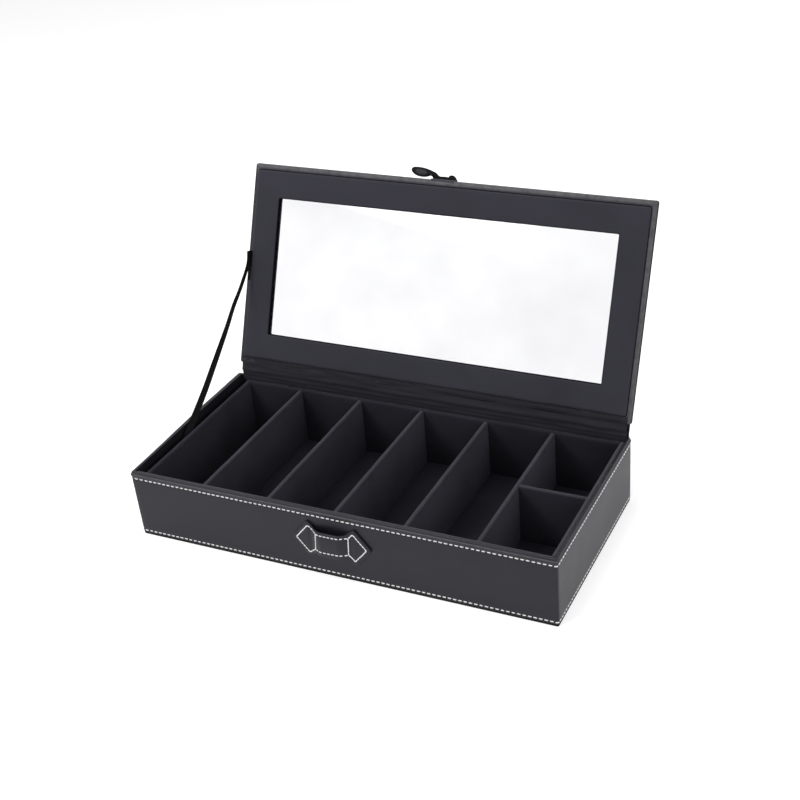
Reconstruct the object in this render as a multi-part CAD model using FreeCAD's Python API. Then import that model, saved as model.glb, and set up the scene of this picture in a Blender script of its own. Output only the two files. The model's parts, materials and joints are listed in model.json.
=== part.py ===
import FreeCAD, Part
import math
import os

# Sunglasses display box with a hinged window lid, in millimetres.
# X runs along the case, Y from front to rear, Z up. The origin is the middle of the underside.
# The lid is modelled closed and then swung open about the hinge.

os.makedirs("parts", exist_ok=True)
V = FreeCAD.Vector

# Case, outside
case_length = 375.0
case_depth = 182.0
case_height = 62.0
corner_radius = 2.0
rim_round = 0.9
foot_round = 1.0

# Case wall, from the outside in
leather = 0.5
wall_board = 1.6
turn_in = 0.4
turn_in_drop = 20.0

# Floor stack
foot_sheet = 0.8
foot_proud = 0.3
under_fold = 12.0
base_board = 2.2
tray_floor = 2.0

# Tray of compartments
tray_wall = 4.2
tray_below_rim = 4.0
tray_gap = 0.5
ribbon_channel = 4.5
divider_thickness = 4.0
divider_below_tray = 0.4
column_count = 6
first_column_narrowing = 5.5
soft_round = 1.5

# Lid, closed
lid_thickness = 6.6
lid_gap = 0.4
lid_rear_overhang = 0.3
lid_front_overhang = 1.1
lid_side_setback = 0.2
lid_face_round = 1.2
lid_inner_round = 0.7

# Window in the lid
window_side_frame = 27.8
window_end_frame = 29.3
window_radius = 4.5
pane_thickness = 1.6
pane_overlap = 7.0
pane_play = 0.2

# Raised panel inside the lid
panel_raise = 2.0
panel_margin = 4.5
panel_hinge_margin = 6.5
panel_round = 1.2

# Hinge of leather at the rear edge
open_angle = 113.1
open_edge_behind = 3.7
open_edge_above = 10.1
hinge_leather = 0.5
hinge_inset = 2.0
hinge_leaf = 13.0
hinge_bend = 3.0
lining_bend = 0.5
lining = 0.4
lining_foot = 4.5
lining_side_gap = 0.5

# Ribbon that stops the lid
ribbon_width = 9.0
ribbon_thickness = 0.7
ribbon_sag = 2.5
ribbon_rim_y = 0.2
ribbon_rim_rise = 3.6
ribbon_tail = 34.0
ribbon_tab_distance = 90.0
ribbon_tab_length = 27.0
ribbon_tab_thickness = 0.3

# Closure tongue on the lid's front edge
tongue_root_x = -1.9
tongue_root_width = 21.5
tongue_root_leather = 0.9
tongue_root_hold = 5.0
tongue_leather = 1.4
tongue_clearance = 0.3
tongue_band_rise = 3.3
tongue_knob_width = 8.2
tongue_knob_rise = 4.75
tongue_shoulder_in = 2.7
tongue_shoulder_rise = 5.0

# Leaf at the tongue's end: how far out from the tab, and how far beyond the lid's edge
leaf_neck_out = 3.6
leaf_neck_rise = 2.9
leaf_belly_out = 11.3
leaf_belly_rise = 1.7
leaf_foot_out = 19.0
leaf_foot_rise = 3.9
leaf_tip_out = 21.2
leaf_tip_rise = 6.8
leaf_head_out = 18.6
leaf_head_rise = 9.2
leaf_back_out = 7.7
leaf_back_rise = 8.8

# Keeper strap on the front of the case
keeper_x = -0.8
keeper_z = 34.2
keeper_leather = 2.0
keeper_tip = 35.5
keeper_flare_x = 20.9
keeper_flare_half = 17.3
keeper_neck_x = 13.6
keeper_neck_half = 11.3
keeper_corner_round = 2.0
keeper_gap = 5.2
keeper_lift_start = 19.0
keeper_flat_half = 7.0

# Worked-out sizes of the case
wall = leather + wall_board + turn_in
half_length = case_length / 2
half_depth = case_depth / 2
base_top = foot_sheet + base_board
floor_top = base_top + tray_floor
tray_top = case_height - tray_below_rim
divider_top = tray_top - divider_below_tray
tray_left = -half_length + wall + ribbon_channel
tray_right = half_length - wall - tray_gap
tray_front = -half_depth + wall + tray_gap
tray_rear = -tray_front
inner_left = tray_left + tray_wall
inner_right = tray_right - tray_wall
inner_front = tray_front + tray_wall
inner_rear = tray_rear - tray_wall
divider_count = column_count - 1
clear_length = inner_right - inner_left - divider_count * divider_thickness
column_width = (clear_length + first_column_narrowing) / column_count
column_pitch = column_width + divider_thickness

# Worked-out sizes of the closed lid
lid_left = -half_length + lid_side_setback
lid_right = -lid_left
lid_front = -half_depth - lid_front_overhang
lid_rear = half_depth + lid_rear_overhang
lid_inner = case_height + lid_gap
lid_outer = lid_inner + lid_thickness
lid_board_inner = lid_inner + turn_in
lid_board_outer = lid_outer - leather
pane_outer = lid_board_inner + pane_thickness
panel_face = lid_inner - panel_raise


def hinge_axis():
    """The one point about which the closed lid's rear edge turns into its open place."""
    open_y = half_depth + open_edge_behind
    open_z = case_height + open_edge_above
    half_turn = math.radians(open_angle) / 2
    reach = 0.5 / math.tan(half_turn)
    y = (open_y + lid_rear) / 2 - reach * (lid_outer - open_z)
    z = (open_z + lid_outer) / 2 + reach * (lid_rear - open_y)
    return V(0, y, z)


hinge_point = hinge_axis()


def swung_open(shape):
    """A closed-lid shape in the open place that the part rests in."""
    shape = shape.copy()
    shape.rotate(hinge_point, V(1, 0, 0), -open_angle)
    return shape


def open_place(y, z):
    """Where a point of the closed lid's side view lies once the lid is open."""
    turn = -math.radians(open_angle)
    dy = y - hinge_point.y
    dz = z - hinge_point.z
    return (hinge_point.y + dy * math.cos(turn) - dz * math.sin(turn),
            hinge_point.z + dy * math.sin(turn) + dz * math.cos(turn))


def block(x0, x1, y0, y1, z0, z1):
    return Part.makeBox(x1 - x0, y1 - y0, z1 - z0, V(x0, y0, z0))


def upright_edges(shape):
    chosen = []
    for edge in shape.Edges:
        a = edge.Vertexes[0].Point
        b = edge.Vertexes[-1].Point
        if abs(a.x - b.x) < 1e-6 and abs(a.y - b.y) < 1e-6 and abs(a.z - b.z) > 1e-6:
            chosen.append(edge)
    return chosen


def edges_at_height(shape, z, keep=lambda box: True):
    chosen = []
    for edge in shape.Edges:
        box = edge.BoundBox
        if abs(box.ZMin - z) < 1e-4 and abs(box.ZMax - z) < 1e-4 and keep(box):
            chosen.append(edge)
    return chosen


def rounded_block(x0, x1, y0, y1, z0, z1, radius):
    shape = block(x0, x1, y0, y1, z0, z1)
    return shape.makeFillet(radius, upright_edges(shape))


def case_outline(inset, z0, z1):
    """The case's outline moved inwards, as a prism, with its corners still round."""
    radius = max(corner_radius - inset, 0)
    x = half_length - inset
    y = half_depth - inset
    if radius > 0.01:
        return rounded_block(-x, x, -y, y, z0, z1, radius)
    return block(-x, x, -y, y, z0, z1)


def export(name, shape):
    if len(shape.Solids) == 1:
        shape = shape.Solids[0]
    shape.exportStep("parts/" + name + ".step")
    print(name, len(shape.Solids), round(shape.Volume), shape.isValid())


# Case boards: a ring of four thin boards round the base board
def case_boards():
    board_top = case_height - leather
    inner = leather + wall_board
    ring = case_outline(leather, foot_sheet, board_top).cut(case_outline(inner, foot_sheet, board_top))
    x = half_length - inner
    y = half_depth - inner
    reach = case_length
    front = ring.common(block(-reach, reach, -reach, -y, 0, case_height))
    rear = ring.common(block(-reach, reach, y, reach, 0, case_height))
    left = ring.common(block(-reach, -x, -y, y, 0, case_height))
    right = ring.common(block(x, reach, -y, y, 0, case_height))
    export("front_wall_board", front)
    export("rear_wall_board", rear)
    export("left_wall_board", left)
    export("right_wall_board", right)
    export("base_board", block(-x, x, -y, y, foot_sheet, base_top))
    return ring


# Leather wrap: outer skin, folded over the rim and under the foot
def case_wrap(ring):
    inner = leather + wall_board
    skin = case_outline(0, foot_proud, case_height)
    skin = skin.makeFillet(rim_round, edges_at_height(skin, case_height))
    skin = skin.makeFillet(foot_round, edges_at_height(skin, foot_proud))
    fold_end = case_height - turn_in_drop
    skin = skin.cut(ring)
    skin = skin.cut(case_outline(inner, foot_sheet, fold_end))
    skin = skin.cut(case_outline(wall, fold_end, case_height + leather))
    skin = skin.cut(case_outline(under_fold, 0, foot_sheet))

    def on_mouth(box):
        return box.XMax <= half_length - wall + 0.01 and box.YMax <= half_depth - wall + 0.01 \
            and box.XMin >= wall - half_length - 0.01 and box.YMin >= wall - half_depth - 0.01

    skin = skin.makeFillet(rim_round, edges_at_height(skin, case_height, on_mouth))
    export("leather_wrap", skin)
    x = half_length - under_fold
    y = half_depth - under_fold
    export("underside_sheet", block(-x, x, -y, y, 0, foot_sheet))


def soft_topped(x0, x1, y0, y1, top, radius, along_x):
    """An upright velvet-covered board whose two long top edges are rounded."""
    board = block(x0, x1, y0, y1, floor_top, top)

    def long_edge(box):
        return box.XLength > box.YLength if along_x else box.YLength > box.XLength

    return board.makeFillet(radius, edges_at_height(board, top, long_edge))


# Tray: a velvet-covered insert of a floor, four walls, five dividers and one cross divider
def tray():
    export("tray_floor", block(tray_left, tray_right, tray_front, tray_rear, base_top, floor_top))
    long_walls = {"tray_front_wall": (tray_front, inner_front), "tray_rear_wall": (inner_rear, tray_rear)}
    for name, (y0, y1) in long_walls.items():
        export(name, soft_topped(tray_left, tray_right, y0, y1, tray_top, soft_round, True))
    side_walls = {"tray_left_wall": (tray_left, inner_left), "tray_right_wall": (inner_right, tray_right)}
    for name, (x0, x1) in side_walls.items():
        export(name, soft_topped(x0, x1, inner_front, inner_rear, tray_top, soft_round, False))
    divider_left = inner_left + column_width - first_column_narrowing
    for number in range(1, column_count):
        right = divider_left + divider_thickness
        shape = soft_topped(divider_left, right, inner_front, inner_rear, divider_top, soft_round, False)
        export("divider_%d" % number, shape)
        divider_left += column_pitch
    cross_left = inner_right - column_width
    half = divider_thickness / 2
    cross = soft_topped(cross_left, inner_right, -half, half, divider_top, soft_round, True)
    export("cross_divider", cross)


# Keeper strap: an arrow-ended leather strap that arches off the front wall
def keeper_outline():
    right = [(keeper_neck_x, keeper_neck_half), (keeper_flare_x, keeper_flare_half), (keeper_tip, 0),
             (keeper_flare_x, -keeper_flare_half), (keeper_neck_x, -keeper_neck_half)]
    left = [(-x, z) for x, z in reversed(right)]
    points = [V(x, 0, z) for x, z in right + left]
    wire = Part.makePolygon(points + points[:1])
    depth = keeper_gap + 2 * keeper_leather
    prism = Part.Face(wire).extrude(V(0, -depth, 0))
    corners = [edge for edge in prism.Edges if edge.BoundBox.YLength > depth - 0.01]
    return prism.makeFillet(keeper_corner_round, corners)


def keeper_side(thickness):
    """One side of the arch, seen from above: flat pad, two tangent arcs, raised flat middle."""
    run = keeper_lift_start - keeper_flat_half
    angle = 2 * math.atan(keeper_gap / run)
    radius = run / (2 * math.sin(angle))
    low = radius - thickness
    high = radius + thickness
    end = keeper_tip + keeper_leather

    def at(x, depth):
        return V(x, -depth, 0)

    def on_low(turn):
        return at(keeper_lift_start - low * math.sin(turn), radius - low * math.cos(turn))

    def on_high(turn):
        return at(keeper_flat_half + high * math.sin(turn), keeper_gap - radius + high * math.cos(turn))

    return [Part.makeLine(at(end, thickness), on_low(0)),
            Part.Arc(on_low(0), on_low(angle / 2), on_low(angle)).toShape(),
            Part.Arc(on_high(angle), on_high(angle / 2), on_high(0)).toShape(),
            Part.makeLine(on_high(0), at(0, keeper_gap + thickness))]


def keeper_strap():
    mirror = FreeCAD.Matrix(-1, 0, 0, 0, 0, 1, 0, 0, 0, 0, 1, 0, 0, 0, 0, 1)
    edges = []
    for thickness in (0, keeper_leather):
        half = keeper_side(thickness)
        edges += half
        edges += [edge.transformGeometry(mirror) for edge in half]
    end = keeper_tip + keeper_leather
    for x in (-end, end):
        edges.append(Part.makeLine(V(x, 0, 0), V(x, -keeper_leather, 0)))
    wire = Part.Wire(Part.__sortEdges__(edges))
    reach = keeper_flare_half + keeper_leather
    arch = Part.Face(wire).extrude(V(0, 0, 2 * reach))
    arch.translate(V(0, 0, -reach))
    strap = arch.common(keeper_outline())
    strap.translate(V(keeper_x, -half_depth, keeper_z))
    export("keeper_strap", strap)


# Lid, modelled closed
def window_prism(grow, z0, z1, radius):
    x = lid_right - window_side_frame + grow
    y0 = lid_front + window_end_frame - grow
    y1 = lid_rear - window_end_frame + grow
    return rounded_block(-x, x, y0, y1, z0, z1, radius)


def lid_outline(inset, z0, z1):
    return rounded_block(lid_left + inset, lid_right - inset, lid_front + inset, lid_rear - inset,
                         z0, z1, corner_radius - inset)


def root_box(front, rear, low, high):
    half = tongue_root_width / 2
    return block(tongue_root_x - half, tongue_root_x + half, front, rear, low, high)


def lid():
    board = lid_outline(leather, lid_board_inner, lid_board_outer)
    board = board.cut(window_prism(leather, lid_inner, lid_outer, window_radius + leather))
    rebate = window_prism(pane_overlap + pane_play, lid_inner, pane_outer, window_radius)
    board = board.cut(rebate)
    export("lid_board", swung_open(board))

    pane = window_prism(pane_overlap, lid_board_inner, pane_outer, window_radius)
    export("window_pane", swung_open(pane))

    x = lid_right - panel_margin
    panel = rounded_block(-x, x, lid_front + panel_margin, lid_rear - panel_hinge_margin,
                          panel_face, lid_board_inner, corner_radius)
    panel_space = panel.copy()
    panel = panel.cut(window_prism(0, panel_face, lid_board_inner, window_radius))
    panel = panel.makeFillet(panel_round, edges_at_height(panel, panel_face))
    export("lid_liner", swung_open(panel))

    cover = lid_outline(0, lid_inner, lid_outer)
    cover = cover.makeFillet(lid_face_round, edges_at_height(cover, lid_outer))
    cover = cover.makeFillet(lid_inner_round, edges_at_height(cover, lid_inner))
    cover = cover.cut(lid_outline(leather, lid_board_inner, lid_board_outer).cut(
        window_prism(leather, lid_inner, lid_outer, window_radius + leather)))
    cover = cover.cut(rebate)
    cover = cover.cut(panel_space)
    cover = cover.cut(window_prism(0, panel_face, lid_outer, window_radius))
    cover = cover.cut(root_box(lid_front, lid_front + panel_margin, panel_face, lid_board_inner))
    export("lid_cover", swung_open(cover))


# Leather tab that folds round the lid's front edge and holds the tongue
def tongue_root():
    outside = lid_front - tongue_root_leather
    top = lid_outer + tongue_root_leather
    tab = root_box(outside, lid_front + tongue_root_hold, lid_inner, top)
    outer_edges = []
    for edge in tab.Edges:
        box = edge.BoundBox
        if box.XLength > 1 and abs(box.YMin - outside) < 1e-6:
            outer_edges.append(edge)
    tab = tab.makeFillet(tongue_root_leather, outer_edges)
    tab = tab.cut(lid_outline(0, lid_inner, lid_outer))
    inner_leg = root_box(lid_front, lid_front + panel_margin, lid_inner, lid_board_inner)
    inner_leg = inner_leg.cut(lid_outline(leather, lid_board_inner, lid_board_outer))
    export("tongue_root", swung_open(tab.fuse(inner_leg).removeSplitter()))


# Closure tongue: a leather strap turned to the left, with a leaf-shaped end
def closure_tongue():
    start = tongue_root_leather + tongue_clearance
    low = lid_outer + tongue_root_leather - tongue_leather
    right = tongue_root_x + tongue_root_width / 2
    left = tongue_root_x - tongue_root_width / 2

    def at(x, beyond):
        return V(x, lid_front - beyond, low)

    def bend(first, middle, last):
        return Part.Arc(first, middle, last).toShape()

    root_left = at(left, start)
    root_right = at(right, start)
    neck = at(left - leaf_neck_out, leaf_neck_rise)
    neck_bend = at(left - leaf_neck_out / 3, leaf_neck_rise - tongue_clearance)
    belly = at(left - leaf_belly_out, leaf_belly_rise)
    foot = at(left - leaf_foot_out, leaf_foot_rise)
    tip = at(left - leaf_tip_out, leaf_tip_rise)
    head = at(left - leaf_head_out, leaf_head_rise)
    back = at(left - leaf_back_out, leaf_back_rise)
    shoulder = at(left + tongue_shoulder_in, tongue_shoulder_rise)
    band_left = at(left + 2 * tongue_shoulder_in, tongue_band_rise)
    half_way = (tongue_band_rise + tongue_shoulder_rise) / 2
    band_bend = at(left + 1.5 * tongue_shoulder_in, half_way - tongue_clearance)
    band_right = at(right - tongue_knob_width, tongue_band_rise)
    knob = at(right - tongue_knob_width / 2, tongue_knob_rise)
    edges = [bend(root_left, neck_bend, neck), bend(neck, belly, foot), bend(foot, tip, head),
             bend(head, back, shoulder), bend(shoulder, band_bend, band_left),
             Part.makeLine(band_left, band_right), bend(band_right, knob, root_right),
             Part.makeLine(root_right, root_left)]
    strap = Part.Face(Part.Wire(edges)).extrude(V(0, 0, tongue_leather))
    export("closure_tongue", swung_open(strap))
    pivot = open_place(lid_front - start, low)
    print("tongue pivot", [round(value, 3) for value in pivot])


def strip_between(near_side, far_side, half_width):
    """A thin strip along X whose side view lies between two lists of points."""
    points = [V(-half_width, y, z) for y, z in near_side + far_side[::-1]]
    return Part.Face(Part.makePolygon(points + points[:1])).extrude(V(2 * half_width, 0, 0))


def round_bend(strip, place, radius):
    """The strip with its lengthwise edge at one place of the side view rounded."""
    y, z = place
    chosen = []
    for edge in strip.Edges:
        box = edge.BoundBox
        if box.XLength > strip.BoundBox.XLength / 2 and abs(box.YMin - y) + abs(box.ZMin - z) < 1e-5:
            chosen.append(edge)
    return strip.makeFillet(radius, chosen)


# Leather hinge: two glued leaves, the bending strip between them, and the inner lining
def hinge():
    half = half_length - hinge_inset
    rear = half_depth
    outside = rear + hinge_leather
    leaf_top = case_height - rim_round
    leaf = block(-half, half, rear, outside, leaf_top - hinge_leaf, leaf_top)
    export("hinge_case_leaf", leaf)
    leaf_rear = lid_rear - lid_face_round
    leaf = block(-half, half, leaf_rear - hinge_leaf, leaf_rear, lid_outer, lid_outer + hinge_leather)
    export("hinge_lid_leaf", swung_open(leaf))

    bend_z = leaf_top + lid_gap + rim_round
    near = [(rear, leaf_top), (rear, bend_z), open_place(leaf_rear, lid_outer)]
    far = [(outside, leaf_top), (outside, bend_z), open_place(leaf_rear, lid_outer + hinge_leather)]
    strip = strip_between(near, far, half)
    strip = round_bend(strip, near[1], hinge_bend + hinge_leather)
    export("hinge_leather", round_bend(strip, far[1], hinge_bend))

    half = half_length - wall - lining_side_gap
    face = half_depth - wall
    foot = case_height - lining_foot
    edge_y, edge_z = open_place(lid_rear - lid_inner_round, lid_inner - lining / 4)
    turn_y, turn_z = open_place(lid_rear, lid_inner)
    near_y = turn_y - lining
    near = [(face, foot), (face, case_height), (near_y, turn_z), (edge_y, edge_z)]
    far = [(y - lining, z) for y, z in near]
    strip = strip_between(near, far, half)
    strip = round_bend(strip, near[2], lining_bend)
    export("hinge_lining", round_bend(strip, far[2], lining_bend + lining))


# Ribbon stay on the left, from the channel beside the tray to the lid's margin
def ribbon():
    x0 = -half_length + wall
    low = V(x0, ribbon_rim_y, case_height + ribbon_rim_rise)
    high_y, high_z = open_place(lid_rear - ribbon_tab_distance, lid_inner)
    high = V(x0, high_y, high_z)
    along = (high - low).normalize()
    across = V(0, -along.z, along.y)
    middle = (low + high) * 0.5 - across * ribbon_sag
    chord = (high - low).Length
    radius = (chord ** 2 / 4 + ribbon_sag ** 2) / (2 * ribbon_sag)
    centre = middle + across * radius

    def on_arc(point, offset):
        inward = (centre - point).normalize()
        return point + inward * offset

    half = ribbon_width / 2
    tail_along = V(0, (centre - low).z, -(centre - low).y).normalize()
    tail = low - tail_along * ribbon_tail if tail_along.y > 0 else low + tail_along * ribbon_tail
    inward = (centre - low).normalize()
    edges = []
    for offset in (-half, half):
        edges.append(Part.Arc(on_arc(low, offset), on_arc(middle, offset), on_arc(high, offset)).toShape())
        edges.append(Part.makeLine(tail + inward * offset, on_arc(low, offset)))
    edges.append(Part.makeLine(tail - inward * half, tail + inward * half))
    edges.append(Part.makeLine(on_arc(high, -half), on_arc(high, half)))
    strip = Part.Face(Part.Wire(Part.__sortEdges__(edges))).extrude(V(ribbon_thickness, 0, 0))
    reach = case_length
    tab_face = lid_inner - ribbon_tab_thickness
    behind = swung_open(block(-reach, reach, -reach, reach, tab_face, tab_face + reach))
    split = tray_top - divider_below_tray
    below = block(-reach, reach, -reach, reach, 0, split)
    export("stay_ribbon", strip.cut(behind).cut(below))
    export("stay_tail", strip.common(below))
    tab_middle = lid_rear - ribbon_tab_distance
    tab = block(lid_left + lid_inner_round, lid_left + panel_margin, tab_middle - ribbon_tab_length / 2,
                tab_middle + ribbon_tab_length / 2, tab_face, lid_inner)
    export("stay_tab", swung_open(tab))


ring = case_boards()
case_wrap(ring)
tray()
keeper_strap()
lid()
tongue_root()
closure_tongue()
hinge()
ribbon()
print("hinge axis", round(hinge_point.y, 3), round(hinge_point.z, 3))
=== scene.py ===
import json
import math
import random

import bmesh
import bpy
from mathutils import Matrix, Vector, noise


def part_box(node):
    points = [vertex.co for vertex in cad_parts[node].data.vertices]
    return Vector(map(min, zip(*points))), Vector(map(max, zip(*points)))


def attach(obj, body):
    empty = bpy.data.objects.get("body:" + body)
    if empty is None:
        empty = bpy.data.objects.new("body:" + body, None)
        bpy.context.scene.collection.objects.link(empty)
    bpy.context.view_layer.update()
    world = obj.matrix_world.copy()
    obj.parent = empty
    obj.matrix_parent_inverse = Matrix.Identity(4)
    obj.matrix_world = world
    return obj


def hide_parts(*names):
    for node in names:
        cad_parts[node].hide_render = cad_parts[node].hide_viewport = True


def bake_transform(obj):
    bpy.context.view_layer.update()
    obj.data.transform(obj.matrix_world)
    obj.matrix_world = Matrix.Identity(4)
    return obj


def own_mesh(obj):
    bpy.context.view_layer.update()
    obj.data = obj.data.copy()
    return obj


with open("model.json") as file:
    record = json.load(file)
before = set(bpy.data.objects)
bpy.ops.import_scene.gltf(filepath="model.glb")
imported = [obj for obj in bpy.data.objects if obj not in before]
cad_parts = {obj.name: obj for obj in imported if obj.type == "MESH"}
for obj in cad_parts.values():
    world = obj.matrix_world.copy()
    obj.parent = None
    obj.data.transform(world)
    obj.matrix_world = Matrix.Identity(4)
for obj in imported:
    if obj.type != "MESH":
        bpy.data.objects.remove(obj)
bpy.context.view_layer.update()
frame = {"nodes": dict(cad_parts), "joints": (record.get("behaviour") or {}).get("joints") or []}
scene = bpy.context.scene
nodes = frame["nodes"]
joints = {joint["name"]: joint for joint in frame["joints"]}
mm = 0.001
sharpest = 0.15 * mm
cornerSegments = 6


# The lid is made closed and swung open about the hinge, as the frame holds it
lidPivot = Vector(joints["lid_hinge"]["pos_m"])
lidTurn = -math.radians(max(joints["lid_hinge"]["range_deg"]))
swing = Matrix.Translation(lidPivot) @ Matrix.Rotation(lidTurn, 4, "X") @ Matrix.Translation(-lidPivot)


# no rest box can be read off a tilted node, so its corners are swung shut first
def closedBox(node):
    back = swing.inverted()
    points = [back @ vertex.co for vertex in nodes[node].data.vertices]
    return [Vector([pick(point[axis] for point in points) for axis in range(3)]) for pick in (min, max)]


def clamp(value, low=0, high=1):
    return max(low, min(high, value))


# an amount that grows softly as a share goes from 0 to 1
def eased(amount, share):
    share = clamp(share)
    return amount * share * share * (3 - 2 * share)


def roundOff(bm, geom, offset, segments, affect):
    bmesh.ops.bevel(bm, geom=geom, offset=offset, offset_type="OFFSET", segments=segments, profile=0.5,
                    affect=affect, material=-1)


def cutAcross(bm, place, normal):
    bmesh.ops.bisect_plane(bm, geom=bm.verts[:] + bm.edges[:] + bm.faces[:], plane_co=Vector(place),
                           plane_no=Vector(normal))


def vertsOf(made):
    return [item for item in made["geom"] if isinstance(item, bmesh.types.BMVert)]


def addBox(bm, low, high):
    made = bmesh.ops.create_cube(bm, size=1)["verts"]
    fit = Matrix.Translation((low + high) / 2) @ Matrix.Diagonal((*(high - low), 1))
    bmesh.ops.transform(bm, matrix=fit, verts=made)


# A rounded rectangle; each point of its loop is known by its shares of the straight sides and its corner's direction
class Outline:
    def __init__(self, low, high, radius):
        self.centre = Vector(((low.x + high.x) / 2, (low.y + high.y) / 2, 0))
        self.half = Vector(((high.x - low.x) / 2, (high.y - low.y) / 2, 0))
        self.radius = radius

    # radius and straight half-lengths once the outline is moved inwards
    def moved(self, inset):
        radius = max(self.radius - inset, sharpest)
        return radius, self.half.x - inset - radius, self.half.y - inset - radius

    def place(self, share, inset, height):
        radius, flatX, flatY = self.moved(inset)
        shareX, shareY, normal = share
        return self.centre + Vector((shareX * flatX, shareY * flatY, height)) + normal * radius

    # a closed loop of edges with rounded corners, and the share of each of its points
    def loop(self, bm, cutsX, cutsY):
        made = bmesh.ops.create_grid(bm, x_segments=1, y_segments=1, size=1)["verts"]
        for vertex in made:
            vertex.co = Vector((vertex.co.x * self.half.x, vertex.co.y * self.half.y, 0))
        roundOff(bm, made, self.radius, cornerSegments, "VERTICES")
        sides = [edge for edge in bm.edges if edge.calc_length() > 4 * self.radius]
        bmesh.ops.delete(bm, geom=bm.faces[:], context="FACES_ONLY")
        alongX = [edge for edge in sides if abs(edge.verts[0].co.y - edge.verts[1].co.y) < 1e-6]
        alongY = [edge for edge in sides if edge not in alongX]
        bmesh.ops.subdivide_edges(bm, edges=alongX, cuts=cutsX)
        bmesh.ops.subdivide_edges(bm, edges=alongY, cuts=cutsY)
        shares = {}
        _, flatX, flatY = self.moved(0)
        for vertex in bm.verts:
            flat = Vector((clamp(vertex.co.x, -flatX, flatX), clamp(vertex.co.y, -flatY, flatY), 0))
            shares[vertex] = (flat.x / flatX, flat.y / flatY, (vertex.co - flat).normalized())
        return bm.edges[:], shares

    # evenly spaced (point, along, outwards) round the outline
    def walk(self, inset, spacing):
        radius, flatX, flatY = self.moved(inset)
        arc = math.pi / 2 * radius
        total = 4 * (flatX + flatY + arc)
        count = round(total / spacing)
        for number in range(count):
            yield self.at(total * (number + 0.5) / count, flatX, flatY, radius, arc)

    def at(self, distance, flatX, flatY, radius, arc):
        turn = 0
        for flat, other in ((flatX, flatY), (flatY, flatX), (flatX, flatY), (flatY, flatX)):
            along = Vector((math.cos(turn), math.sin(turn), 0))
            outwards = Vector((along.y, -along.x, 0))
            if distance <= 2 * flat:
                return self.centre + along * (distance - flat) + outwards * (other + radius), along, outwards
            distance -= 2 * flat
            if distance <= arc:
                bend = turn + distance / radius
                hub = self.centre + along * flat + outwards * other
                out = Vector((math.sin(bend), -math.cos(bend), 0))
                return hub + out * radius, Vector((math.cos(bend), math.sin(bend), 0)), out
            distance -= arc
            turn += math.pi / 2
        return self.at(0, flatX, flatY, radius, arc)


# a row is (outline, inset, height), or (row, row, share) for one between two others
def rowPlace(row, share):
    if isinstance(row[0], Outline):
        return row[0].place(share, row[1], row[2])
    return rowPlace(row[0], share).lerp(rowPlace(row[1], share), row[2])


# Extrudes a closed loop of edges through rows and merges the last row onto the first.
def sweepRound(bm, rows, cutsX, cutsY):
    edges, shares = rows[0][0].loop(bm, cutsX, cutsY)
    for vertex in bm.verts:
        vertex.co = rowPlace(rows[0], shares[vertex])
    for row in rows[1:] + rows[:1]:
        old = {vertex.co.copy().freeze(): shares[vertex] for edge in edges for vertex in edge.verts}
        made = bmesh.ops.extrude_edge_only(bm, edges=edges)
        fresh = set(vertsOf(made))
        edges = [item for item in made["geom"] if isinstance(item, bmesh.types.BMEdge)
                 and item.verts[0] in fresh and item.verts[1] in fresh]
        for vertex in fresh:
            shares[vertex] = old[vertex.co.copy().freeze()]
            vertex.co = rowPlace(row, shares[vertex])
    bmesh.ops.remove_doubles(bm, verts=bm.verts, dist=1e-6)


def rowsOf(outline, profile):
    return [(outline, inset * mm, height * mm) for inset, height in profile]


def meshFrom(bm, name):
    mesh = bpy.data.meshes.new(name)
    bm.to_mesh(mesh)
    bm.free()
    return mesh


def addObject(name, data):
    made = bpy.data.objects.new(name, data)
    scene.collection.objects.link(made)
    return made


# Turns a bmesh into a piece that rides on its body.
def finished(bm, name, body, slot, material, replaces=(), sharp=50, placed=None):
    if placed is not None:
        bmesh.ops.transform(bm, matrix=placed, verts=bm.verts)
    bmesh.ops.recalc_face_normals(bm, faces=bm.faces)
    for face in bm.faces:
        face.smooth = True
    mesh = meshFrom(bm, name)
    mesh.set_sharp_from_angle(angle=math.radians(sharp))
    piece = addObject(name, mesh)
    piece.data.materials.append(material)
    if replaces:
        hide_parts(*replaces)
    if body:
        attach(piece, body)
    return piece


# a piece of its own, swept through rows
def makeSwept(rows, cuts, *labels, **more):
    bm = bmesh.new()
    sweepRound(bm, rows, *cuts)
    finished(bm, *labels, **more)


# smooth unevenness between about -1 and 1
def ripple(point, size, seed):
    return noise.noise(point / size + Vector((seed, seed * 0.37, -seed)))


# ripples added up, each of them (share, size, seed)
def ripples(point, waves):
    return sum(share * ripple(point, size, seed) for share, size, seed in waves)


# Materials: a node with its settings, and its inputs as values or as the sockets that feed them
def addNode(tree, kind, inputs=None, **settings):
    node = tree.nodes.new("ShaderNode" + kind)
    for key, value in settings.items():
        setattr(node, key, value)
    for key, value in (inputs or {}).items():
        if isinstance(value, bpy.types.NodeSocket):
            tree.links.new(value, node.inputs[key])
        else:
            node.inputs[key].default_value = value
    return node


def feed(node, key, socket):
    node.id_data.links.new(socket, node.inputs[key])


def addMath(tree, operation, *values):
    return addNode(tree, "Math", dict(enumerate(values)), operation=operation).outputs[0]


def addNoise(tree, place, scale, detail, **more):
    return addNode(tree, "TexNoise", {"Vector": place, "Scale": scale, "Detail": detail, **more}).outputs


def addWave(tree, place, scale, direction, distortion=0):
    return addNode(tree, "TexWave", {"Vector": place, "Scale": scale, "Distortion": distortion},
                   wave_type="BANDS", bands_direction=direction).outputs["Color"]


# a colour that runs from dark to light
def addRamp(tree, factor, dark, light, ends=(0, 1)):
    ramp = addNode(tree, "ValToRGB", {"Fac": factor})
    for element, position, colour in zip(ramp.color_ramp.elements, ends, (dark, light)):
        element.position, element.color = position, colour
    return ramp.outputs["Color"]


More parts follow.
